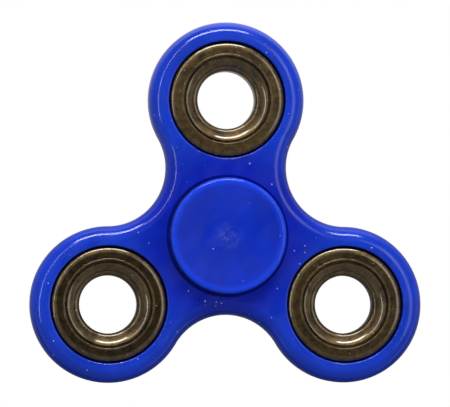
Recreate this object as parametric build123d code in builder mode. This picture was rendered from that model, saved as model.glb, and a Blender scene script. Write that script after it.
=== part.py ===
from build123d import *
import os
from math import atan2, cos, degrees, radians, sin, sqrt

# Three-lobed hand spinner with a ball bearing between two finger caps. Millimetres.
# The origin is the bearing's centre on the spin axis, +Z points to the front cap and +Y through
# the first lobe. Every turned piece is a closed profile of (radius, height) corners, each with
# the radius that rounds it, revolved about its own axis.

# --- driving dimensions ---------------------------------------------------------------------

EDGE_BREAK = 0.04  # smallest rounding, on corners of metal that are not meant to be round

# frame
LOBES = 3
LOBE_DISTANCE = 25.7  # spin axis to the axis of a lobe
LOBE_RADIUS = 14.7  # outside of a lobe
FLANK_RADIUS = 11.1  # hollow flank between two lobes
FRAME_THICKNESS = 7.6
EDGE_ROUND = 2.8  # outside edge, front and back
POCKET_RADIUS = 11.0  # hole in a lobe that a weight is pressed into
POCKET_LIP = 0.35  # rounding of the pocket's mouth
HUB_CHAMFER = 0.5  # mouth of the bearing's bore

# lobe weight, from its hole outwards: rounded lip, low step, crowned funnel up to a crest, groove,
# bead, flat, shoulder, and a band round the middle of its height that is pressed into the pocket
HOLE_RADIUS = 5.45
HOLE_ROUND = 0.8  # mouth of the hole
LIP_RADIUS = 6.3
LIP_TOP = 2.05
FUNNEL_INSIDE = 6.34
FUNNEL_FOOT = 2.29
CROWN_RADIUS = 6.95  # where the funnel's steep and shallow slopes would meet
CROWN_HEIGHT = 2.9
CROWN_ROUND = 2.8
CREST_RADIUS = 7.8
CREST_TOP = 3.15
CREST_ROUND = 0.12
GROOVE_INSIDE = 7.86
GROOVE_OUTSIDE = 8.16
GROOVE_FLOOR = 2.3
GROOVE_ROUND = 0.08
BEAD_INSIDE = 8.22
BEAD_OUTSIDE = 8.56
BEAD_TOP = 3.58
BEAD_ROUND = 0.14
BEAD_FOOT = 8.62  # where the bead's outside meets the flat
WEIGHT_FACE = 3.5
SHOULDER_RADIUS = 10.13  # where the flat would meet the slope of the shoulder
SHOULDER_DROP = 0.33
SHOULDER_ROUND = 1.8
NECK_RADIUS = 10.65  # outside of the weight above and below the pressed band
NECK_ROUND = 0.1
BAND_HALF_HEIGHT = 2.0
BAND_LEAD = 0.35  # slope that guides the band into the pocket

# 608 ball bearing
BORE_RADIUS = 4.0
OUTSIDE_RADIUS = 11.0
BEARING_HALF_WIDTH = 3.5
PITCH_RADIUS = 7.5
BALLS = 7
BALL_RADIUS = 1.9845
RACE_RADIUS = 2.06  # section of both raceways
RACE_PLAY = 0.015  # between ball and raceway, on each side
INNER_LAND = 6.05
OUTER_LAND = 8.95
RING_CHAMFER = 0.3
SHIELD_SEAT = 9.55  # mouth of the step that a shield sits in
SHIELD_GROOVE = 9.75  # undercut below that mouth, which holds the shield's rim
SHIELD_FLOOR = 2.95  # height of that step
SHIELD_THICKNESS = 0.3
SHIELD_BEND_INSIDE = 8.9  # a shield steps up inside its rim, between these radii on its outer face
SHIELD_BEND_OUTSIDE = 9.1
SHIELD_UNDER_INSIDE = 8.7  # and between these on its inner face
SHIELD_UNDER_OUTSIDE = 8.85
SHIELD_STEP = 0.12
SHIELD_ROUND = 0.15
SHIELD_HOLE = 6.3
SHIELD_HOLE_ROUND = 0.12
SHIELD_LIP = 0.35  # depth of the rolled edge of its hole
SHIELD_LIP_OUTSIDE = 6.5
SHIELD_LIP_FOOT = 6.65

# cage
CAGE_INSIDE = 6.55
CAGE_OUTSIDE = 8.45
CAGE_SHEET = 0.35
CAGE_PLAY = 0.115  # between ball and cage pocket
RIVET_RADIUS = 0.35
RIVET_HEAD_RADIUS = 0.6
RIVET_HEAD_HEIGHT = 0.25

# finger caps
CAP_RADIUS = 10.88
CAP_UNDERSIDE = 4.4
CAP_TOP = 6.4
CAP_EDGE = 0.7  # rounding of the outside of the rim
CAP_FOOT = 0.35  # rounding of the outside of the underside
RIM_INSIDE = 10.05  # where the dish begins
DISH_DEPTH = 0.4  # at the centre
BOSS_RADIUS = 5.6  # bears on the inner ring alone
STEM_END = 0.15  # the two stems stop just short of each other
STEM_CHAMFER = 0.12
PEG_RADIUS = 2.0
PEG_LENGTH = 2.75
SOCKET_DEPTH = 2.9
GATE_RADIUS = 0.9  # dimple left by the mould's gate in the middle of a dish
GATE_DEPTH = 0.07

# --- worked out from them -------------------------------------------------------------------

POINTING_UP = 90.0
LOBE_STEP = 360.0 / LOBES
BALL_STEP = 360.0 / BALLS

# A flank touches both of its lobes, so its centre is LOBE_RADIUS + FLANK_RADIUS from each.
FLANK_REACH = LOBE_RADIUS + FLANK_RADIUS
FLANK_DISTANCE = (LOBE_DISTANCE + sqrt(4 * FLANK_REACH**2 - 3 * LOBE_DISTANCE**2)) / 2
FLANK_BEARING = degrees(
    atan2(
        FLANK_DISTANCE * sin(radians(LOBE_STEP / 2)),
        FLANK_DISTANCE * cos(radians(LOBE_STEP / 2)) - LOBE_DISTANCE,
    )
)

SHIELD_TOP = SHIELD_FLOOR + SHIELD_THICKNESS
INNER_RACE_CENTRE = PITCH_RADIUS - BALL_RADIUS - RACE_PLAY + RACE_RADIUS
OUTER_RACE_CENTRE = PITCH_RADIUS + BALL_RADIUS + RACE_PLAY - RACE_RADIUS
SIDES = {"front": 1, "back": -1}

lobe_angles = [POINTING_UP + i * LOBE_STEP for i in range(LOBES)]
ball_angles = [POINTING_UP + i * BALL_STEP for i in range(BALLS)]
rivet_angles = [angle + BALL_STEP / 2 for angle in ball_angles]


def polar(radius, angle, height=0.0):
    """Point at a radius and an angle in degrees about the spin axis."""
    return (radius * cos(radians(angle)), radius * sin(radians(angle)), height)


def section_plane(centre=(0, 0, 0)):
    """Upright plane through a turned piece's axis: x is the radius, y the height."""
    return Plane(origin=centre, x_dir=(1, 0, 0), z_dir=(0, -1, 0))


def closed_profile(corners, side=1):
    """Outline through (radius, height, rounding) corners, flipped to the back where side is -1."""
    points = [(radius, side * height) for radius, height, _ in corners]
    FilletPolyline(*points, radius=[rounding for _, _, rounding in corners], close=True)


def finish(part, name):
    """Labels a finished piece and writes its STEP file."""
    part.label = name
    export_step(part, f"parts/{name}.step")


os.makedirs("parts", exist_ok=True)


# --- frame ----------------------------------------------------------------------------------

with BuildPart() as frame_body:
    with BuildSketch(Plane.XY.offset(-FRAME_THICKNESS / 2)):
        with BuildLine():
            for lobe in lobe_angles:
                flank = lobe + LOBE_STEP / 2
                CenterArc(
                    polar(LOBE_DISTANCE, lobe),
                    LOBE_RADIUS,
                    lobe - FLANK_BEARING,
                    2 * FLANK_BEARING,
                )
                CenterArc(
                    polar(FLANK_DISTANCE, flank),
                    FLANK_RADIUS,
                    lobe + FLANK_BEARING + 180,
                    LOBE_STEP - 2 * FLANK_BEARING,
                )
        make_face()
    extrude(amount=FRAME_THICKNESS)
    faces_front_and_back = faces().filter_by(Axis.Z)
    fillet(faces_front_and_back.edges(), radius=EDGE_ROUND)

    # bearing bore
    Hole(OUTSIDE_RADIUS)
    bore_mouths = edges().filter_by(GeomType.CIRCLE).filter_by(
        lambda edge: abs(edge.radius - OUTSIDE_RADIUS) < 1e-4
    )
    chamfer(bore_mouths, length=HUB_CHAMFER)

    # weight pockets
    with Locations([polar(LOBE_DISTANCE, lobe) for lobe in lobe_angles]):
        Hole(POCKET_RADIUS)
    pocket_mouths = edges().filter_by(GeomType.CIRCLE).filter_by(
        lambda edge: abs(edge.radius - POCKET_RADIUS) < 1e-4
        and edge.arc_center.X**2 + edge.arc_center.Y**2 > 1
        and abs(edge.arc_center.Z) > FRAME_THICKNESS / 2 - 1e-4
    )
    fillet(pocket_mouths, radius=POCKET_LIP)
finish(frame_body.part, "frame_body")


# --- lobe weights ---------------------------------------------------------------------------

# One face of a weight from the hole outwards; the other face is the same, seen in the mirror.
weight_face = [
    (HOLE_RADIUS, LIP_TOP, HOLE_ROUND),
    (LIP_RADIUS, LIP_TOP, EDGE_BREAK),
    (FUNNEL_INSIDE, FUNNEL_FOOT, EDGE_BREAK),
    (CROWN_RADIUS, CROWN_HEIGHT, CROWN_ROUND),
    (CREST_RADIUS, CREST_TOP, CREST_ROUND),
    (GROOVE_INSIDE, GROOVE_FLOOR, GROOVE_ROUND),
    (GROOVE_OUTSIDE, GROOVE_FLOOR, GROOVE_ROUND),
    (BEAD_INSIDE, BEAD_TOP, BEAD_ROUND),
    (BEAD_OUTSIDE, BEAD_TOP, BEAD_ROUND),
    (BEAD_FOOT, WEIGHT_FACE, EDGE_BREAK),
    (SHOULDER_RADIUS, WEIGHT_FACE, SHOULDER_ROUND),
    (NECK_RADIUS, WEIGHT_FACE - SHOULDER_DROP, NECK_ROUND),
    (NECK_RADIUS, BAND_HALF_HEIGHT, EDGE_BREAK),
    (POCKET_RADIUS, BAND_HALF_HEIGHT - BAND_LEAD, EDGE_BREAK),
]
weight_back = [(radius, -height, rounding) for radius, height, rounding in weight_face]

for number, lobe in enumerate(lobe_angles, start=1):
    lobe_centre = polar(LOBE_DISTANCE, lobe)
    with BuildPart() as lobe_weight:
        with BuildSketch(section_plane(lobe_centre)):
            with BuildLine():
                closed_profile(weight_face + weight_back[::-1])
            make_face()
        revolve(axis=Axis(lobe_centre, (0, 0, 1)))
    finish(lobe_weight.part, f"lobe_weight_{number}")


# --- bearing rings --------------------------------------------------------------------------

with BuildPart() as bearing_inner_ring:
    with BuildSketch(section_plane()):
        with BuildLine():
            Polyline(
                (BORE_RADIUS, BEARING_HALF_WIDTH - RING_CHAMFER),
                (BORE_RADIUS + RING_CHAMFER, BEARING_HALF_WIDTH),
                (INNER_LAND - RING_CHAMFER, BEARING_HALF_WIDTH),
                (INNER_LAND, BEARING_HALF_WIDTH - RING_CHAMFER),
                (INNER_LAND, RING_CHAMFER - BEARING_HALF_WIDTH),
                (INNER_LAND - RING_CHAMFER, -BEARING_HALF_WIDTH),
                (BORE_RADIUS + RING_CHAMFER, -BEARING_HALF_WIDTH),
                (BORE_RADIUS, RING_CHAMFER - BEARING_HALF_WIDTH),
                close=True,
            )
        make_face()
        with Locations((INNER_RACE_CENTRE, 0)):
            Circle(RACE_RADIUS, mode=Mode.SUBTRACT)
    revolve(axis=Axis.Z)
finish(bearing_inner_ring.part, "bearing_inner_ring")

# Each end of the outer ring has a step, undercut by a groove that a shield's rim is pressed into.
outer_ring_face = [
    (OUTER_LAND, SHIELD_FLOOR),
    (SHIELD_GROOVE, SHIELD_FLOOR),
    (SHIELD_GROOVE, SHIELD_TOP),
    (SHIELD_SEAT, BEARING_HALF_WIDTH),
    (OUTSIDE_RADIUS - RING_CHAMFER, BEARING_HALF_WIDTH),
    (OUTSIDE_RADIUS, BEARING_HALF_WIDTH - RING_CHAMFER),
]
with BuildPart() as bearing_outer_ring:
    with BuildSketch(section_plane()):
        with BuildLine():
            Polyline(
                *outer_ring_face,
                *[(radius, -height) for radius, height in reversed(outer_ring_face)],
                close=True,
            )
        make_face()
        with Locations((OUTER_RACE_CENTRE, 0)):
            Circle(RACE_RADIUS, mode=Mode.SUBTRACT)
    revolve(axis=Axis.Z)
finish(bearing_outer_ring.part, "bearing_outer_ring")


# --- balls ----------------------------------------------------------------------------------

for number, angle in enumerate(ball_angles, start=1):
    with BuildPart() as bearing_ball:
        with Locations(polar(PITCH_RADIUS, angle)):
            Sphere(BALL_RADIUS)
    finish(bearing_ball.part, f"bearing_ball_{number}")


# --- ribbon cage ----------------------------------------------------------------------------

POCKET_INSIDE = BALL_RADIUS + CAGE_PLAY
POCKET_OUTSIDE = POCKET_INSIDE + CAGE_SHEET
ball_centres = [polar(PITCH_RADIUS, angle) for angle in ball_angles]
rivet_centres = [polar(PITCH_RADIUS, angle) for angle in rivet_angles]

for name, side in SIDES.items():
    with BuildPart() as cage_half:
        # flat ribbon between the balls, domed over each ball
        with BuildSketch():
            Circle(CAGE_OUTSIDE)
            Circle(CAGE_INSIDE, mode=Mode.SUBTRACT)
        extrude(amount=side * CAGE_SHEET)
        with Locations(ball_centres):
            Sphere(POCKET_OUTSIDE)
        # trimmed to the ribbon's width and to its own side of the middle plane
        with BuildSketch():
            Circle(CAGE_OUTSIDE)
            Circle(CAGE_INSIDE, mode=Mode.SUBTRACT)
        extrude(amount=side * (POCKET_OUTSIDE + CAGE_SHEET), mode=Mode.INTERSECT)
        with Locations(ball_centres):
            Sphere(POCKET_INSIDE, mode=Mode.SUBTRACT)
        with Locations(rivet_centres):
            Hole(RIVET_RADIUS)
    finish(cage_half.part, f"cage_{name}_half")

with BuildPart() as cage_rivets:
    for rivet_centre in rivet_centres:
        with BuildSketch(section_plane(rivet_centre)):
            with BuildLine():
                Polyline(
                    (0, CAGE_SHEET + RIVET_HEAD_HEIGHT),
                    (0, -CAGE_SHEET - RIVET_HEAD_HEIGHT),
                )
                for side in SIDES.values():
                    seat = side * CAGE_SHEET
                    crown = seat + side * RIVET_HEAD_HEIGHT
                    TangentArc((0, crown), (RIVET_HEAD_RADIUS, seat), tangent=(1, 0))
                    Line((RIVET_HEAD_RADIUS, seat), (RIVET_RADIUS, seat))
                Line((RIVET_RADIUS, CAGE_SHEET), (RIVET_RADIUS, -CAGE_SHEET))
            make_face()
        revolve(axis=Axis(rivet_centre, (0, 0, 1)))
finish(cage_rivets.part, "cage_rivets")


# --- shields --------------------------------------------------------------------------------

# A thin disc, stepped up a little inside its rim, with the edge of its hole rolled inwards.
for name, side in SIDES.items():
    with BuildPart() as shield:
        with BuildSketch(section_plane()):
            with BuildLine():
                closed_profile(
                    [
                        (SHIELD_GROOVE, SHIELD_FLOOR, 0),
                        (SHIELD_GROOVE, SHIELD_TOP, EDGE_BREAK),
                        (SHIELD_BEND_OUTSIDE, SHIELD_TOP, SHIELD_ROUND),
                        (SHIELD_BEND_INSIDE, SHIELD_TOP + SHIELD_STEP, SHIELD_ROUND),
                        (SHIELD_HOLE, SHIELD_TOP + SHIELD_STEP, SHIELD_HOLE_ROUND),
                        (SHIELD_HOLE, SHIELD_TOP - SHIELD_LIP, EDGE_BREAK),
                        (SHIELD_LIP_OUTSIDE, SHIELD_TOP - SHIELD_LIP, EDGE_BREAK),
                        (SHIELD_LIP_FOOT, SHIELD_FLOOR + SHIELD_STEP, SHIELD_HOLE_ROUND),
                        (SHIELD_UNDER_INSIDE, SHIELD_FLOOR + SHIELD_STEP, SHIELD_ROUND),
                        (SHIELD_UNDER_OUTSIDE, SHIELD_FLOOR, SHIELD_ROUND),
                    ],
                    side,
                )
            make_face()
        revolve(axis=Axis.Z)
    finish(shield.part, f"{name}_shield")


# --- finger caps ----------------------------------------------------------------------------

dish_floor = CAP_TOP - DISH_DEPTH
gate_floor = dish_floor - GATE_DEPTH


def round_edges(part, radius, height):
    """The circular edges of a turned part at a radius and a height."""
    return part.edges().filter_by(GeomType.CIRCLE).filter_by(
        lambda edge: abs(edge.radius - radius) < 1e-4 and abs(edge.arc_center.Z - height) < 1e-4
    )


for name, side in SIDES.items():
    with BuildPart() as cap:
        with BuildSketch(section_plane()):
            with BuildLine():
                # dimple of the mould's gate, then the dished top out to the rim
                TangentArc(
                    (0, side * gate_floor), (GATE_RADIUS, side * dish_floor), tangent=(1, 0)
                )
                TangentArc(
                    (GATE_RADIUS, side * dish_floor),
                    (RIM_INSIDE, side * CAP_TOP),
                    tangent=(1, 0),
                )
                # rim, underside, boss and stem, back to the axis
                Polyline(
                    (RIM_INSIDE, side * CAP_TOP),
                    (CAP_RADIUS, side * CAP_TOP),
                    (CAP_RADIUS, side * CAP_UNDERSIDE),
                    (BOSS_RADIUS, side * CAP_UNDERSIDE),
                    (BOSS_RADIUS, side * BEARING_HALF_WIDTH),
                    (BORE_RADIUS, side * BEARING_HALF_WIDTH),
                    (BORE_RADIUS, side * STEM_END),
                    (0, side * STEM_END),
                    (0, side * gate_floor),
                )
            make_face()
        revolve(axis=Axis.Z)
        fillet(round_edges(cap, CAP_RADIUS, side * CAP_TOP), radius=CAP_EDGE)
        fillet(round_edges(cap, CAP_RADIUS, side * CAP_UNDERSIDE), radius=CAP_FOOT)
        chamfer(round_edges(cap, BORE_RADIUS, side * STEM_END), length=STEM_CHAMFER)

        # the front stem's peg is pressed into the back stem's socket
        with BuildSketch(Plane.XY.offset(side * STEM_END)):
            Circle(PEG_RADIUS)
        if name == "front":
            extrude(amount=-PEG_LENGTH)
        else:
            extrude(amount=-SOCKET_DEPTH, mode=Mode.SUBTRACT)
    finish(cap.part, f"{name}_cap")
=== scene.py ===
"""Three-lobed fidget spinner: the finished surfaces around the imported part.

Lengths are in millimetres and become metres where a mesh or an object is made. The frame is the part's own:
origin in the middle of the ball bearing, +Z to the front cap, +Y through the first lobe.
"""

import math

import bpy
from mathutils import Matrix, Vector, geometry


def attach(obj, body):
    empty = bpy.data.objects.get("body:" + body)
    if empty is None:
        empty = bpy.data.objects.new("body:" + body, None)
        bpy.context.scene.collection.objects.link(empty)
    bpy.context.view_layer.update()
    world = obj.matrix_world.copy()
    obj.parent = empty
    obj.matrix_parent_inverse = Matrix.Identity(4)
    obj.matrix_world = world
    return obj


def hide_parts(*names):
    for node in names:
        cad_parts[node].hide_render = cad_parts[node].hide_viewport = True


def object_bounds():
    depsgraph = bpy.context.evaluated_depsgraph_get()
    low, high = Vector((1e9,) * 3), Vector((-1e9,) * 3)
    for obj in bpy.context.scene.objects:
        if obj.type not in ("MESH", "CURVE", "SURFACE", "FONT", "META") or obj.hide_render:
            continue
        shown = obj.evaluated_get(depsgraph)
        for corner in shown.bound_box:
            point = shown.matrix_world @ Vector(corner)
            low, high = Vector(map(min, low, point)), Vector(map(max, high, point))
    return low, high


MM = 0.001

# --- the part's sizes ---------------------------------------------------------------------------------------

LOBE_DISTANCE = 25.7
LOBE_RADIUS = 14.7
FLANK_RADIUS = 11.1
FRAME_HALF = 3.8  # half of the frame's thickness
EDGE_ROUND = 2.8
POCKET_RADIUS = 11.0
POCKET_LIP = 0.35
HUB_CHAMFER = 0.5
HUB_CHAMFER_ROUND = 0.1
MOUTH_MARGIN = 0.05  # of a bore's rounding, out onto the flat face
WITNESS_HALF = 0.12  # half width of the faint line where the halves of the mould met
WITNESS_DEPTH = 0.03
LOBE_ANGLES = (90, 210, 330)
LOBE_CENTRES = [
    (LOBE_DISTANCE * math.cos(math.radians(angle)), LOBE_DISTANCE * math.sin(math.radians(angle)))
    for angle in LOBE_ANGLES
]

# half of a lobe weight's section, from its hole outwards: (radius, height, rounding)
WEIGHT_FACE = [
    (5.45, 2.05, 0.8),
    (6.3, 2.05, 0.04),
    (6.34, 2.29, 0.04),
    (6.95, 2.9, 2.8),
    (7.8, 3.15, 0.12),
    (7.86, 2.3, 0.08),
    (8.16, 2.3, 0.08),
    (8.22, 3.58, 0.14),
    (8.56, 3.58, 0.14),
    (8.62, 3.5, 0.04),
    (10.13, 3.5, 1.8),
    (10.65, 3.17, 0.1),
    (10.65, 2.0, 0.04),
    (11.0, 1.65, 0.04),
]

BALLS = 7
BALL_RADIUS = 1.9845
PITCH_RADIUS = 7.5
RACE_RADIUS = 2.06
RACE_SHIFT = BALL_RADIUS + 0.015 - RACE_RADIUS  # from the pitch circle to the centre of a race's section
RACE_OPENING = 42.83  # half angle of a race's arc
RACE_STEPS = 16
RING_BREAK = 0.06  # rounding of the bearing rings' edges

INNER_RING_BELOW = [(4.3, -3.5), (5.75, -3.5), (6.05, -3.2), (6.05, -1.4)]
INNER_RING_ABOVE = [(6.05, 1.4), (6.05, 3.2), (5.75, 3.5), (4.3, 3.5), (4.0, 3.2), (4.0, -3.2), (4.3, -3.5)]
OUTER_RING = [
    (8.95, -1.4),
    (8.95, -2.95),
    (9.75, -2.95),
    (9.75, -3.25),
    (9.55, -3.5),
    (10.7, -3.5),
    (11.0, -3.2),
    (11.0, 3.2),
    (10.7, 3.5),
    (9.55, 3.5),
    (9.75, 3.25),
    (9.75, 2.95),
    (8.95, 2.95),
    (8.95, 1.4),
]
SHIELD = [
    (9.75, 3.25, 0.04),
    (9.1, 3.25, 0.15),
    (8.9, 3.37, 0.15),
    (6.3, 3.37, 0.12),
    (6.3, 2.9, 0.04),
    (6.5, 2.9, 0.04),
    (6.65, 3.07, 0.12),
    (8.7, 3.07, 0.15),
    (8.85, 2.95, 0.15),
    (9.75, 2.95, 0.0),
]

# a finger cap's section: peg or socket, stem and boss, then underside and rim up to the edge of the dish
PEG = [(0.0, -2.6), (2.0, -2.6), (2.0, 0.15)]
SOCKET = [(0.0, 3.05), (2.0, 3.05), (2.0, 0.15)]
PEG_ROUND = 0.03
CAP_STEM = [(4.0, 0.15, 0.12), (4.0, 3.5, 0.05), (5.6, 3.5, 0.05), (5.6, 4.4, 0.1)]
DISH_EDGE = (10.05, 6.4)
CAP_RIM = [(10.88, 4.4, 0.35), (10.88, 6.4, 0.7), (*DISH_EDGE, 0.0)]
DISH_FLOOR = 6.0
GATE_RADIUS = 0.9  # dimple left by the mould's gate in the middle of the dish
GATE_DEPTH = 0.07

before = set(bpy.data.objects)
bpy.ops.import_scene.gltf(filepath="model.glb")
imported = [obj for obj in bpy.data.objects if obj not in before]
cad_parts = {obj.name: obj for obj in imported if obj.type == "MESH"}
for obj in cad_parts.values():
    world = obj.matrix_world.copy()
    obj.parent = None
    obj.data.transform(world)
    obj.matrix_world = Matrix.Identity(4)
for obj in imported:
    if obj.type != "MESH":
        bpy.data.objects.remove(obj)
cad_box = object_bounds()


# --- outlines -----------------------------------------------------------------------------------------------


def unit(x, y):
    length = math.hypot(x, y)
    return (x / length, y / length)


def rounded(corners, closed=False, step=8.0):
    """Points (x, y, normal x, normal y) of an outline through (x, y, rounding) corners.

    The material is on the left of the way along it. A sharp corner gives two points, with each side's normal.
    """
    found = []
    last = len(corners) - 1
    for i, (x, y, rounding) in enumerate(corners):
        into = out = None
        if closed or i > 0:
            into = unit(x - corners[i - 1][0], y - corners[i - 1][1])
        if closed or i < last:
            after = corners[(i + 1) % len(corners)]
            out = unit(after[0] - x, after[1] - y)
        if into is None or out is None:
            way = into or out
            found.append((x, y, way[1], -way[0]))
            continue
        turn = math.atan2(into[0] * out[1] - into[1] * out[0], into[0] * out[0] + into[1] * out[1])
        if rounding <= 0:
            found += [(x, y, into[1], -into[0]), (x, y, out[1], -out[0])]
            continue
        side = 1 if turn > 0 else -1
        back = rounding * math.tan(abs(turn) / 2)
        centre_x = x - into[0] * back - side * into[1] * rounding
        centre_y = y - into[1] * back + side * into[0] * rounding
        first = math.atan2(-into[0], into[1])
        steps = max(2, math.ceil(math.degrees(abs(turn)) / step))
        for k in range(steps + 1):
            c, s = math.cos(first + turn * k / steps), math.sin(first + turn * k / steps)
            found.append((centre_x + side * rounding * c, centre_y + side * rounding * s, c, s))
    return found


def arc(centre, radius, start, end, steps, hollow=False):
    """Points of an arc of an outline, from one angle to another in degrees."""
    way = -1 if hollow else 1
    found = []
    for k in range(steps + 1):
        angle = math.radians(start + (end - start) * k / steps)
        c, s = math.cos(angle), math.sin(angle)
        found.append((centre[0] + radius * c, centre[1] + radius * s, way * c, way * s))
    return found


def broken(corners):
    """An outline with all its inner corners slightly rounded, as on ground or pressed steel."""
    return rounded([(r, z, RING_BREAK) for r, z in corners])


def upside_down(outline):
    """The outline of the same piece turned over, still with the material on its left."""
    return [(r, -z, nr, -nz) for r, z, nr, nz in reversed(outline)]


def frame_outline(inset, lobe_steps=168, flank_steps=84):
    """The frame's outline moved inwards, anticlockwise from the first lobe."""
    reach = LOBE_RADIUS + FLANK_RADIUS
    flank_distance = (LOBE_DISTANCE + math.sqrt(4 * reach**2 - 3 * LOBE_DISTANCE**2)) / 2
    bearing = math.degrees(
        math.atan2(flank_distance * math.sin(math.radians(60)), flank_distance / 2 - LOBE_DISTANCE)
    )
    found = []
    for angle, centre in zip(LOBE_ANGLES, LOBE_CENTRES):
        lobe = arc(centre, LOBE_RADIUS - inset, angle - bearing, angle + bearing, lobe_steps)
        flank = math.radians(angle + 60)
        flank_centre = (flank_distance * math.cos(flank), flank_distance * math.sin(flank))
        start = angle + bearing + 180
        hollow = arc(
            flank_centre, FLANK_RADIUS + inset, start, start + 120 - 2 * bearing, flank_steps, hollow=True
        )
        found += lobe[:-1] + hollow[:-1]
    return found


# --- meshes -------------------------------------------------------------------------------------------------


class Shell:
    """Collects one mesh's points, exact normals and faces, in millimetres."""

    def __init__(self):
        self.points = []
        self.normals = []
        self.faces = []

    def ring(self, placed):
        first = len(self.points)
        self.points += [p for p, _ in placed]
        self.normals += [n for _, n in placed]
        return list(range(first, len(self.points)))

    def bridge(self, a, b):
        """Faces between two rings of the same count; a ring may be one pole, repeated."""
        for i in range(len(a)):
            j = (i + 1) % len(a)
            corners = tuple(dict.fromkeys((a[i], a[j], b[j], b[i])))
            if len(corners) > 2:
                self.faces.append(corners)

    def turn(self, outline, centre=(0.0, 0.0), closed=False, steps=240):
        """A turned surface about the upright axis through centre; gives back its first and last ring."""
        rings = []
        for r, z, nr, nz in outline:
            if r < 1e-6:
                rings.append(self.ring([((centre[0], centre[1], z), (0.0, 0.0, nz))]) * steps)
                continue
            placed = []
            for k in range(steps):
                c, s = math.cos(2 * math.pi * k / steps), math.sin(2 * math.pi * k / steps)
                placed.append(((centre[0] + r * c, centre[1] + r * s, z), (nr * c, nr * s, nz)))
            rings.append(self.ring(placed))
        for i in range(len(outline) if closed else len(outline) - 1):
            j = (i + 1) % len(outline)
            if math.dist(outline[i][:2], outline[j][:2]) > 1e-6:
                self.bridge(rings[i], rings[j])
        return rings[0], rings[-1]

    def fill(self, border, holes, discs, side):
        """A flat face inside the border ring and outside the hole rings, which bound the given discs."""
        flat, owner, edges = [], [], []
        for loop in [border] + holes:
            first = len(flat)
            for i, index in enumerate(loop):
                flat.append(Vector(self.points[index][:2]))
                owner.append(index)
                edges.append((first + i, first + (i + 1) % len(loop)))
        corners, _, triangles, sources, _, _ = geometry.delaunay_2d_cdt(flat, edges, [], 1, 1e-6)
        for triangle in triangles:
            a, b, c = (corners[i] for i in triangle)
            middle = (a + b + c) / 3
            if any((middle - Vector(centre)).length < radius for centre, radius in discs):
                continue
            ids = [owner[sources[i][0]] for i in triangle]
            if ((b - a).cross(c - a) > 0) != (side > 0):
                ids.reverse()
            self.faces.append(tuple(ids))

    def mesh(self, name):
        mesh = bpy.data.meshes.new(name)
        mesh.from_pydata([[c * MM for c in p] for p in self.points], [], self.faces)
        mesh.validate()
        mesh.shade_smooth()
        mesh.normals_split_custom_set_from_vertices([Vector(n).normalized() for n in self.normals])
        return mesh


def turned(name, outline, closed=True, steps=240):
    shell = Shell()
    shell.turn(outline, closed=closed, steps=steps)
    return shell.mesh(name)


def frame_mesh():
    """The moulding: rounded outside, flat front and back, and four bores through it."""
    shell = Shell()

    # outside, from the flat back round to the flat front: (inset, height, normal out, normal up)
    straight = FRAME_HALF - EDGE_ROUND
    tilt = math.atan2(WITNESS_DEPTH, WITNESS_HALF)
    lower = [
        (EDGE_ROUND - r, z - straight, nr, nz) for r, z, nr, nz in arc((0, 0), EDGE_ROUND, -90, 0, 24)
    ]
    lower.append((0.0, -WITNESS_HALF, 1.0, 0.0))
    lower.append((WITNESS_DEPTH / 2, -WITNESS_HALF / 2, math.cos(tilt), math.sin(tilt)))
    outside = lower + [(WITNESS_DEPTH, 0.0, 1.0, 0.0)]
    outside += [(inset, -z, out, -up) for inset, z, out, up in reversed(lower)]
    rings = []
    for inset, z, out, up in outside:
        outline = frame_outline(inset)
        rings.append(shell.ring([((x, y, z), (nx * out, ny * out, up)) for x, y, nx, ny in outline]))
    for a, b in zip(rings, rings[1:]):
        shell.bridge(a, b)

    # bores, from the flat of the front through to the flat of the back
    pocket_mouth = POCKET_RADIUS + POCKET_LIP + MOUTH_MARGIN
    pocket = rounded(
        [
            (pocket_mouth, FRAME_HALF, 0),
            (POCKET_RADIUS, FRAME_HALF, POCKET_LIP),
            (POCKET_RADIUS, -FRAME_HALF, POCKET_LIP),
            (pocket_mouth, -FRAME_HALF, 0),
        ]
    )
    hub_mouth = POCKET_RADIUS + HUB_CHAMFER + 2 * MOUTH_MARGIN
    hub = rounded(
        [
            (hub_mouth, FRAME_HALF, 0),
            (POCKET_RADIUS + HUB_CHAMFER, FRAME_HALF, HUB_CHAMFER_ROUND),
            (POCKET_RADIUS, FRAME_HALF - HUB_CHAMFER, HUB_CHAMFER_ROUND),
            (POCKET_RADIUS, HUB_CHAMFER - FRAME_HALF, HUB_CHAMFER_ROUND),
            (POCKET_RADIUS + HUB_CHAMFER, -FRAME_HALF, HUB_CHAMFER_ROUND),
            (hub_mouth, -FRAME_HALF, 0),
        ]
    )
    mouths = [shell.turn(pocket, centre) for centre in LOBE_CENTRES] + [shell.turn(hub)]
    # the flat faces leave out what lies inside a mouth by more than the margin
    margin = 0.01
    discs = [(centre, pocket_mouth - margin) for centre in LOBE_CENTRES]
    discs.append(((0.0, 0.0), hub_mouth - margin))
    shell.fill(rings[-1], [front for front, _ in mouths], discs, 1)
    shell.fill(rings[0], [back for _, back in mouths], discs, -1)
    return shell.mesh("frame_moulding")


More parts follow.
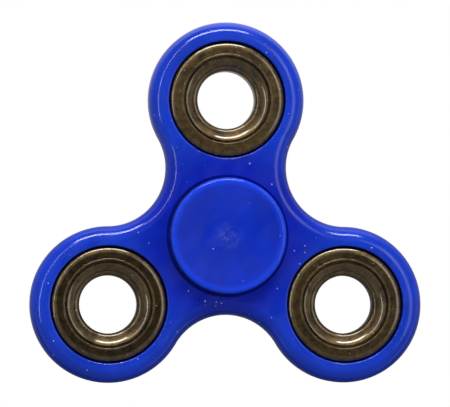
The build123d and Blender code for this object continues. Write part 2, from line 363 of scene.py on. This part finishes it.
def cap_outline(inside):
    """A finger cap from the axis inside it round to the axis on its dish; inside is its peg or socket."""
    dish_rise = DISH_EDGE[1] - DISH_FLOOR
    dish_reach = DISH_EDGE[0] - GATE_RADIUS
    dish_radius = (dish_reach**2 + dish_rise**2) / (2 * dish_rise)
    dish_angle = math.degrees(math.asin(dish_reach / dish_radius))
    dish_centre = (GATE_RADIUS, DISH_FLOOR + dish_radius)
    dish = arc(dish_centre, dish_radius, dish_angle - 90, -90, 24, hollow=True)
    gate_radius = (GATE_RADIUS**2 + GATE_DEPTH**2) / (2 * GATE_DEPTH)
    gate_angle = math.degrees(math.asin(GATE_RADIUS / gate_radius))
    gate_centre = (0, DISH_FLOOR - GATE_DEPTH + gate_radius)
    gate = arc(gate_centre, gate_radius, gate_angle - 90, -90, 6, hollow=True)
    start = [(r, z, PEG_ROUND) for r, z in inside]
    toward_dish = (*dish[1][:2], 0)
    body = rounded(start + CAP_STEM + CAP_RIM + [toward_dish], step=6.0)
    # its last two points lie on the dish, which has its own
    return body[:-2] + dish + gate


def place(name, mesh, centre, material, body, slot, *nodes):
    """Puts a mesh into the scene as a piece that stands for CAD nodes and moves with their body."""
    piece = bpy.data.objects.new(name, mesh)
    bpy.context.scene.collection.objects.link(piece)
    piece.location = [c * MM for c in centre]
    mesh.materials.append(material)
    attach(piece, body)
    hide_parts(*nodes)
    return piece


# --- materials ----------------------------------------------------------------------------------------------

SCRATCHED_BLUE = (0.25, 0.33, 0.75)
RUBBED_BLUE = (0.3, 0.4, 0.75)
DUST_ON_BLUE = (0.6, 0.66, 0.8)
OILED_BROWN = (0.165, 0.105, 0.034)
SCRATCHED_BROWN = (0.3, 0.26, 0.2)
PIT_BROWN = (0.03, 0.02, 0.01)
DUST_ON_BROWN = (0.8, 0.76, 0.68)
FACE_MIDDLE = 9.2  # radius of the middle of the flat ring of a weight's face


class Nodes:
    """Short ways to add nodes to a tree."""

    def __init__(self, tree):
        self.tree = tree

    def put(self, socket, value):
        if isinstance(value, bpy.types.NodeSocket):
            self.tree.links.new(value, socket)
        else:
            socket.default_value = value

    def math(self, operation, a, b=0.0):
        made = self.tree.nodes.new("ShaderNodeMath")
        made.operation = operation
        self.put(made.inputs[0], a)
        self.put(made.inputs[1], b)
        return made.outputs[0]

    def times(self, a, b):
        return self.math("MULTIPLY", a, b)

    def add_up(self, *terms):
        total = terms[0]
        for term in terms[1:]:
            total = self.math("ADD", total, term)
        return total

    def vector(self, operation, a, b=(0.0, 0.0, 0.0), out=0):
        made = self.tree.nodes.new("ShaderNodeVectorMath")
        made.operation = operation
        self.put(made.inputs[0], a)
        self.put(made.inputs[1], b)
        return made.outputs[out]

    def length(self, vector):
        return self.vector("LENGTH", vector, out=1)

    def split(self, vector):
        made = self.tree.nodes.new("ShaderNodeSeparateXYZ")
        self.put(made.inputs[0], vector)
        return made.outputs[0], made.outputs[1], made.outputs[2]

    def join(self, x, y, z):
        made = self.tree.nodes.new("ShaderNodeCombineXYZ")
        for socket, value in zip(made.inputs, (x, y, z)):
            self.put(socket, value)
        return made.outputs[0]

    def grey(self, value):
        """The same value three times over, as a colour."""
        return self.join(value, value, value)

    def moved(self, vector, scale=(1, 1, 1), turn=(0, 0, 0), shift=(0, 0, 0)):
        """The vector shifted, then turned by degrees, then scaled."""
        made = self.tree.nodes.new("ShaderNodeVectorRotate")
        made.rotation_type = "EULER_XYZ"
        self.put(made.inputs["Vector"], self.vector("ADD", vector, shift))
        self.put(made.inputs["Rotation"], [math.radians(a) for a in turn])
        return self.vector("MULTIPLY", made.outputs[0], scale)

    def noise(self, vector, scale, detail=2.0, roughness=0.5, distortion=0.0):
        """Soft noise with about scale blobs to a unit of the vector."""
        made = self.tree.nodes.new("ShaderNodeTexNoise")
        self.put(made.inputs["Vector"], vector)
        self.put(made.inputs["Scale"], scale)
        self.put(made.inputs["Detail"], detail)
        self.put(made.inputs["Roughness"], roughness)
        self.put(made.inputs["Distortion"], distortion)
        return made.outputs["Fac"]

    def ramp(self, value, low, high, to_low=0.0, to_high=1.0):
        """value from low to high becomes to_low to to_high, and stays within them."""
        made = self.tree.nodes.new("ShaderNodeMapRange")
        made.interpolation_type = "SMOOTHSTEP"
        for name, number in (
            ("Value", value),
            ("From Min", low),
            ("From Max", high),
            ("To Min", to_low),
            ("To Max", to_high),
        ):
            self.put(made.inputs[name], number)
        return made.outputs[0]

    def mix(self, factor, a, b):
        """Colour a where the factor is 0 and colour b where it is 1."""
        made = self.tree.nodes.new("ShaderNodeMix")
        made.data_type = "RGBA"
        self.put(made.inputs["Factor"], factor)
        # of the node's sockets, 6 and 7 are the two colours and output 2 is the mixed one
        for socket, colour in ((made.inputs[6], a), (made.inputs[7], b)):
            self.put(socket, (*colour, 1.0) if isinstance(colour, tuple) else colour)
        return made.outputs[2]

    def scratches(self, place_mm, turns, length, width):
        """A mask that is 1 on a few fine straight scratches, in one direction for each of the turns."""
        found = 0.0
        for i, turn in enumerate(turns):
            # the shift gives every direction scratches of its own
            stretched = self.moved(
                place_mm,
                scale=(1 / length, 1 / width, 1 / length),
                turn=turn,
                shift=(13.7 * i + 3.1, 5.3 * i, 2.9 * i),
            )
            streak = self.ramp(self.noise(stretched, 1.0, 1.0), 0.735, 0.76)
            found = self.math("MAXIMUM", found, streak)
        return found

    def specks(self, place_mm, spacing, largest):
        """Round specks, one to a cell and most of them tiny."""
        made = self.tree.nodes.new("ShaderNodeTexVoronoi")
        self.put(made.inputs["Vector"], place_mm)
        self.put(made.inputs["Scale"], 1 / spacing)
        size, _, _ = self.split(made.outputs["Color"])
        radius = self.times(self.math("POWER", size, 4.0), largest / spacing)
        return self.math("LESS_THAN", made.outputs["Distance"], radius)


class Paint(Nodes):
    """A material's node tree around one Principled shader."""

    def __init__(self, name):
        self.material = bpy.data.materials.new(name)
        self.material.use_nodes = True
        super().__init__(self.material.node_tree)
        self.shader = self.tree.nodes["Principled BSDF"]

    def set(self, **values):
        for name, value in values.items():
            self.put(self.shader.inputs[name.replace("_", " ")], value)

    def millimetres(self):
        """The place on the piece, in its own frame."""
        made = self.tree.nodes.new("ShaderNodeTexCoord")
        return self.vector("MULTIPLY", made.outputs["Object"], (1 / MM, 1 / MM, 1 / MM))

    def bump(self, height_mm):
        """Relief of a height in millimetres."""
        made = self.tree.nodes.new("ShaderNodeBump")
        made.inputs["Strength"].default_value = 1.0
        made.inputs["Distance"].default_value = MM
        self.put(made.inputs["Height"], height_mm)
        self.set(Normal=made.outputs[0])


def about_z(*angles):
    return [(0, 0, angle) for angle in angles]


def blue_plastic(name, inner, outer, painted_shading_radii, specks_apart, gate=False):
    """Glossy moulded plastic with smears, fine scratches and dust.

    Its colour is painted from inner to outer between the two distances from the spin axis that change gives,
    as painted light: darker towards the hub of the frame, lighter in the rim of a cap.
    gate is for a piece with the rubbed mark of the mould's gate in its middle.
    """
    paint = Paint(name)
    at = paint.millimetres()
    x, y, _ = paint.split(at)
    flat = paint.join(x, y, 0.0)
    radius = paint.length(flat)
    cloud = paint.noise(at, 0.13, 4.0, 0.6)
    smear = paint.noise(paint.moved(at, scale=(1.0, 0.45, 1.0), turn=(0, 0, 35)), 0.35, 4.0, 0.6)
    marks = paint.scratches(at, about_z(20, 77, 140), length=5.0, width=0.09)
    dust = paint.specks(at, specks_apart, largest=0.15)

    shade = paint.ramp(cloud, 0.35, 0.65, 0.88, 1.08)
    # painted light and shade: the colour goes from inner to outer with the distance from the spin axis
    colour = paint.mix(paint.ramp(radius, *painted_shading_radii), inner, outer)
    colour = paint.vector("MULTIPLY", colour, paint.grey(shade))
    colour = paint.mix(paint.times(marks, 0.03), colour, SCRATCHED_BLUE)
    rough = paint.ramp(smear, 0.35, 0.7, 0.10, 0.19)
    rough = paint.add_up(rough, paint.times(marks, 0.05), paint.times(dust, 0.4))
    # relief in millimetres: sink marks, orange peel, cuts and dust
    height = paint.add_up(
        paint.times(cloud, 0.02),
        paint.times(paint.noise(at, 0.6, 2.0), 0.0018),
        paint.times(marks, -0.0002),
        paint.times(dust, 0.02),
    )
    if gate:
        swirl = paint.noise(flat, 0.45, 2.0, 0.5, 1.5)
        near = paint.ramp(radius, 0.6, 3.2, 1.0, 0.0)
        rub = paint.times(paint.ramp(swirl, 0.4, 0.65), near)
        colour = paint.mix(paint.times(rub, 0.12), colour, RUBBED_BLUE)
        height = paint.add_up(height, paint.times(paint.times(swirl, near), 0.008))
        rough = paint.add_up(rough, paint.times(near, 0.03))
    colour = paint.mix(paint.times(dust, 0.8), colour, DUST_ON_BLUE)
    paint.set(Base_Color=colour, Roughness=rough, IOR=1.54)
    paint.bump(height)
    return paint.material


def gunmetal(name, shift, shade, face):
    """Dark brown oiled steel, cast and then turned: dull and mottled, under a clear glossy film.

    shift, in millimetres, gives each weight blotches of its own. shade is how light the weight is, and face
    how light the flat ring of its face is painted against the rest of it, as a painted reflection of the dark
    ceiling.
    """
    paint = Paint(name)
    at = paint.vector("ADD", paint.millimetres(), shift)
    x, y, z = paint.split(paint.millimetres())
    radius = paint.length(paint.join(x, y, 0.0))
    lines = paint.noise(paint.join(radius, z, 0.0), 7.0, 3.0)
    mottle = paint.noise(at, 0.9, 5.0, 0.62)
    hammered = paint.noise(at, 1.5, 2.0, 0.5)
    marks = paint.scratches(at, about_z(10, 62, 118, 160), length=3.5, width=0.07)
    pits = paint.specks(at, 0.5, largest=0.11)
    dust = paint.specks(paint.moved(at, shift=(5.1, 8.3, 0.7)), 0.75, largest=0.13)

    off_face = paint.math("ABSOLUTE", paint.math("SUBTRACT", radius, FACE_MIDDLE))
    blotch = paint.noise(at, 0.28, 3.0, 0.6)
    tone = paint.ramp(mottle, 0.32, 0.7, 0.68 * shade, 1.3 * shade)
    # painted reflection: the flat ring of the face is darkened by face, for the dark ceiling that it reflects
    tone = paint.times(tone, paint.ramp(off_face, 0.5, 0.75, face, 1.0))
    tone = paint.times(tone, paint.ramp(blotch, 0.36, 0.5, 0.55, 1.08))
    colour = paint.vector("MULTIPLY", OILED_BROWN, paint.grey(tone))
    colour = paint.mix(paint.times(marks, 0.15), colour, SCRATCHED_BROWN)
    colour = paint.mix(pits, colour, PIT_BROWN)
    colour = paint.mix(paint.times(dust, 0.7), colour, DUST_ON_BROWN)
    rough = paint.add_up(paint.ramp(mottle, 0.3, 0.75, 0.42, 0.52), paint.times(dust, 0.2))
    height = paint.add_up(
        paint.times(hammered, 0.026),
        paint.times(mottle, 0.003),
        paint.times(lines, 0.0003),
        paint.times(marks, -0.0006),
        paint.times(pits, -0.008),
    )
    paint.set(Base_Color=colour, Metallic=1.0, Roughness=rough)
    paint.set(Coat_Weight=1.0, Coat_Roughness=0.11, Coat_IOR=1.8)
    paint.bump(height)
    return paint.material


def steel(name, light, dark, smooth, dull, lines_per_mm, relief):
    """Bare steel with fine lines round the axis and a few scratches and stains.

    Its roughness lies between smooth and dull, and the lines are cut relief millimetres deep.
    """
    paint = Paint(name)
    at = paint.millimetres()
    x, y, z = paint.split(at)
    radius = paint.length(paint.join(x, y, 0.0))
    lines = paint.noise(paint.join(radius, z, 0.0), lines_per_mm, 4.0, 0.7)
    stain = paint.noise(at, 0.5, 4.0, 0.6)
    marks = paint.scratches(at, [(0, 0, 30), (40, 0, 95), (0, 50, 150)], length=2.5, width=0.06)
    colour = paint.mix(paint.ramp(stain, 0.3, 0.75), light, dark)
    rough = paint.add_up(paint.ramp(lines, 0.3, 0.7, smooth, dull), paint.ramp(stain, 0.4, 0.8, 0.0, 0.08))
    height = paint.add_up(paint.times(lines, relief), paint.times(marks, -relief))
    paint.set(Base_Color=colour, Metallic=1.0, Roughness=rough)
    paint.bump(height)
    return paint.material


# painted shade: the frame's colour is darker towards its hub, round the cap
frame_plastic = blue_plastic(
    "frame_plastic",
    inner=(0.0003, 0.016, 0.47),
    outer=(0.0035, 0.045, 0.63),
    painted_shading_radii=(12.0, 22.0),
    specks_apart=1.05,
)
# painted light: a cap's colour is lighter in its thin rim, standing for light that gathers there
cap_plastic = blue_plastic(
    "cap_plastic",
    inner=(0.0003, 0.029, 0.60),
    outer=(0.0030, 0.058, 0.90),
    painted_shading_radii=(9.2, 10.4),
    specks_apart=1.4,
    gate=True,
)
# face sets how much darker each weight's flat ring is painted, a painted reflection of the dark ceiling
weight_metals = [
    gunmetal("weight_metal_1", shift=(0.0, 0.0, 0.0), shade=1.0, face=0.8),
    gunmetal("weight_metal_2", shift=(31.0, 7.0, 0.0), shade=0.95, face=0.35),
    gunmetal("weight_metal_3", shift=(9.0, 43.0, 0.0), shade=1.0, face=0.55),
]
ground_steel = steel(
    "ground_steel",
    light=(0.42, 0.42, 0.43),
    dark=(0.34, 0.33, 0.32),
    smooth=0.2,
    dull=0.32,
    lines_per_mm=14.0,
    relief=0.0006,
)
polished_steel = steel(
    "polished_steel",
    light=(0.75, 0.75, 0.77),
    dark=(0.68, 0.68, 0.7),
    smooth=0.05,
    dull=0.1,
    lines_per_mm=3.0,
    relief=0.0001,
)
pressed_steel = steel(
    "pressed_steel",
    light=(0.55, 0.54, 0.52),
    dark=(0.42, 0.41, 0.39),
    smooth=0.28,
    dull=0.42,
    lines_per_mm=5.0,
    relief=0.001,
)


# --- pieces -------------------------------------------------------------------------------------------------

MIDDLE = (0, 0, 0)

place("frame_moulding", frame_mesh(), MIDDLE, frame_plastic, "frame", "blue_plastic", "frame_body")

weight_outline = rounded(
    [(r, -z, rounding) for r, z, rounding in WEIGHT_FACE] + WEIGHT_FACE[::-1], closed=True, step=6.0
)
for number, (centre, metal) in enumerate(zip(LOBE_CENTRES, weight_metals), start=1):
    place(
        f"ring_weight_{number}",
        turned(f"ring_weight_{number}", weight_outline, steps=256),
        (*centre, 0),
        metal,
        "frame",
        "gunmetal",
        f"lobe_weight_{number}",
    )

inner_race = arc(
    (PITCH_RADIUS - RACE_SHIFT, 0),
    RACE_RADIUS,
    180 + RACE_OPENING,
    180 - RACE_OPENING,
    RACE_STEPS,
    hollow=True,
)
outer_race = arc(
    (PITCH_RADIUS + RACE_SHIFT, 0), RACE_RADIUS, RACE_OPENING, -RACE_OPENING, RACE_STEPS, hollow=True
)
ring_outlines = {
    "inner": broken(INNER_RING_BELOW) + inner_race + broken(INNER_RING_ABOVE),
    "outer": broken(OUTER_RING) + outer_race,
}
for side, body in (("inner", "hub"), ("outer", "frame")):
    place(
        f"bearing_{side}_race",
        turned(f"bearing_{side}_race", ring_outlines[side]),
        MIDDLE,
        ground_steel,
        body,
        "bearing_steel",
        f"bearing_{side}_ring",
    )

ball_outline = arc((0, 0), BALL_RADIUS, -90, 90, 24)
for i in range(BALLS):
    angle = math.radians(90 + 360 * i / BALLS)
    place(
        f"steel_ball_{i + 1}",
        turned(f"steel_ball_{i + 1}", ball_outline, closed=False, steps=48),
        (PITCH_RADIUS * math.cos(angle), PITCH_RADIUS * math.sin(angle), 0),
        polished_steel,
        f"ball_{i + 1}",
        "ball_steel",
        f"bearing_ball_{i + 1}",
    )

shield_outline = rounded(SHIELD, closed=True)
cap_outlines = {"front": cap_outline(PEG), "back": upside_down(cap_outline(SOCKET))}
for side, shield in (("front", shield_outline), ("back", upside_down(shield_outline))):
    place(
        f"dust_shield_{side}",
        turned(f"dust_shield_{side}", shield),
        MIDDLE,
        pressed_steel,
        "frame",
        "pressed_steel",
        f"{side}_shield",
    )
    place(
        f"finger_cap_{side}",
        turned(f"finger_cap_{side}", cap_outlines[side], closed=False),
        MIDDLE,
        cap_plastic,
        "hub",
        "blue_plastic",
        f"{side}_cap",
    )

# the cage keeps the part's own meshes
for node in ("cage_front_half", "cage_back_half", "cage_rivets"):
    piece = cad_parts[node]
    piece.data.materials.clear()
    piece.data.materials.append(pressed_steel)
    piece.data.shade_smooth()
    piece.data.set_sharp_from_angle(angle=math.radians(30))


# --- studio -------------------------------------------------------------------------------------------------

# in metres: half of the floor's side, and how far it lies below the back cap
FLOOR_HALF = 8
FLOOR_GAP = 0.00002
# in millimetres: the floor is painted dark up to the first y and light from the second on, a painted shadow
# on the
# -y side of the object, and a pool of light that glows from the floor itself, full inside the first radius
# and gone at the second, lies behind the object
PAINTED_SHADOW_FULL, PAINTED_SHADOW_GONE = -42.0, -12.0
POOL_CENTRE = (10.0, 150.0, 0.0)
POOL_INSIDE, POOL_OUTSIDE = 75.0, 145.0
# for each lamp: the middles of its two ends and its width in metres, and its radiance
LAMPS = {
    "top_strip": ((-0.68, 1.42, 1.0), (0.56, 1.36, 1.0), 0.3, 13.0),
    "left_strip": ((-1.18, -0.32, 1.0), (-0.46, 1.0, 1.0), 0.06, 9.0),
    "right_panel": ((0.80, -0.28, 1.0), (0.47, 0.58, 1.0), 0.46, 1.2),
    "right_core": ((0.50, 0.2, 0.99), (0.50, 0.38, 0.99), 0.18, 0.9),
    "soft_fill": ((-0.3, 0.2, 1.1), (0.5, 0.2, 1.1), 0.8, 1.25),
}
# the dark oval overhead, in the x and y of a direction
CEILING_CENTRE = (0.0, 0.015, 0.0)
CEILING_RADII = (0.2, 0.07, 1.0)
CAMERA_PLACE = (-0.06175, -0.01621, 0.61315)
CAMERA_AIM = (-0.00012, 0.00622, 0)
FOCAL_LENGTH = 261.3
SENSOR_WIDTH = 36

floor_mesh = bpy.data.meshes.new("floor")
floor_corners = [(-1, -1), (1, -1), (1, 1), (-1, 1)]
floor_mesh.from_pydata([(x * FLOOR_HALF, y * FLOOR_HALF, 0) for x, y in floor_corners], [], [(0, 1, 2, 3)])
floor = bpy.data.objects.new("floor", floor_mesh)
bpy.context.scene.collection.objects.link(floor)
floor.location.z = cad_box[0][2] - FLOOR_GAP
floor_paint = Paint("floor_paint")
from_pool = floor_paint.length(floor_paint.vector("SUBTRACT", floor_paint.millimetres(), POOL_CENTRE))
_, floor_y, _ = floor_paint.split(floor_paint.millimetres())
# painted shadow on the -y side and a glowing pool behind the object, seen only in the object's gloss
floor_paint.set(
    Base_Color=floor_paint.grey(floor_paint.ramp(floor_y, PAINTED_SHADOW_FULL, PAINTED_SHADOW_GONE, 0.08, 0.42)),
    Roughness=0.6,
    Emission_Color=(1, 1, 1, 1),
    Emission_Strength=floor_paint.ramp(from_pool, POOL_INSIDE, POOL_OUTSIDE, 0.95, 0.0),
)
# plain white where it is looked at, while the object's gloss shows it with the lamps' light and shadow, its
# painted shadow and its glowing pool
white = floor_paint.tree.nodes.new("ShaderNodeEmission")
ray = floor_paint.tree.nodes.new("ShaderNodeLightPath")
either = floor_paint.tree.nodes.new("ShaderNodeMixShader")
floor_paint.put(either.inputs[0], ray.outputs["Is Camera Ray"])
floor_paint.put(either.inputs[1], floor_paint.shader.outputs[0])
floor_paint.put(either.inputs[2], white.outputs[0])
floor_paint.put(floor_paint.tree.nodes["Material Output"].inputs["Surface"], either.outputs[0])
floor_mesh.materials.append(floor_paint.material)


def strip_lamp(name, start, end, width, radiance):
    """A flat soft lamp between the middles of its two ends, in metres, turned to the object."""
    start, end = Vector(start), Vector(end)
    along = (end - start).normalized()
    middle = (start + end) / 2
    away = (middle - along * middle.dot(along)).normalized()
    data = bpy.data.lights.new(name, "AREA")
    data.shape = "RECTANGLE"
    data.size = (end - start).length
    data.size_y = width
    data.energy = radiance * math.pi * data.size * width
    made = bpy.data.objects.new(name, data)
    bpy.context.scene.collection.objects.link(made)
    turn = Matrix((along, away.cross(along), away)).transposed()
    made.matrix_world = Matrix.Translation(middle) @ turn.to_4x4()
    made.visible_camera = False
    return made


lamps = {name: strip_lamp(name, *settings) for name, settings in LAMPS.items()}
# even light from above that the gloss doesn't show
lamps["soft_fill"].visible_glossy = False

world = bpy.data.worlds.new("studio")
bpy.context.scene.world = world
world.use_nodes = True
sky = Nodes(world.node_tree)
direction = sky.tree.nodes.new("ShaderNodeTexCoord").outputs["Generated"]
across, upward, height = sky.split(direction)


def glow(way, spread, lowest, highest, strength):
    """Light from one side of the room, between two heights of view."""
    side = sky.ramp(sky.vector("DOT_PRODUCT", direction, way, out=1), spread, 1.0)
    return sky.times(side, sky.ramp(height, lowest, highest, strength, 0.0))


# a dim room, brighter low down behind the top strip and on both sides, with a dark ceiling round the camera
walls = sky.add_up(
    sky.ramp(height, 0.0, 0.4, 0.2, 0.185),
    glow((0.26, 0.965, 0.0), spread=0.86, lowest=0.0, highest=0.33, strength=0.7),
    glow((0.91, -0.42, 0.0), spread=0.7, lowest=0.0, highest=0.45, strength=0.5),
    glow((-0.88, -0.47, 0.0), spread=0.85, lowest=0.2, highest=0.95, strength=0.22),
)
from_ceiling = sky.vector("SUBTRACT", sky.join(across, upward, 0.0), CEILING_CENTRE)
from_ceiling = sky.vector("DIVIDE", from_ceiling, CEILING_RADII)
ceiling = sky.ramp(sky.length(from_ceiling), 0.7, 1.4, 0.12, 1.0)
radiance = sky.times(walls, ceiling)
seen = sky.tree.nodes.new("ShaderNodeLightPath").outputs["Is Camera Ray"]
sky.put(sky.tree.nodes["Background"].inputs["Color"], (1, 1, 1, 1))
sky.put(sky.tree.nodes["Background"].inputs["Strength"], sky.math("MAXIMUM", radiance, seen))

camera_data = bpy.data.cameras.new("camera")
camera_data.lens = FOCAL_LENGTH
camera_data.sensor_width = SENSOR_WIDTH
camera_data.clip_start = 0.05
camera_data.clip_end = 20
camera = bpy.data.objects.new("camera", camera_data)
bpy.context.scene.collection.objects.link(camera)
camera_place = Vector(CAMERA_PLACE)
ahead = (Vector(CAMERA_AIM) - camera_place).normalized()
right = ahead.cross(Vector((0, 1, 0))).normalized()
turn = Matrix((right, right.cross(ahead), -ahead)).transposed()
camera.matrix_world = Matrix.Translation(camera_place) @ turn.to_4x4()
bpy.context.scene.camera = camera
bpy.context.scene.view_settings.view_transform = "Standard"
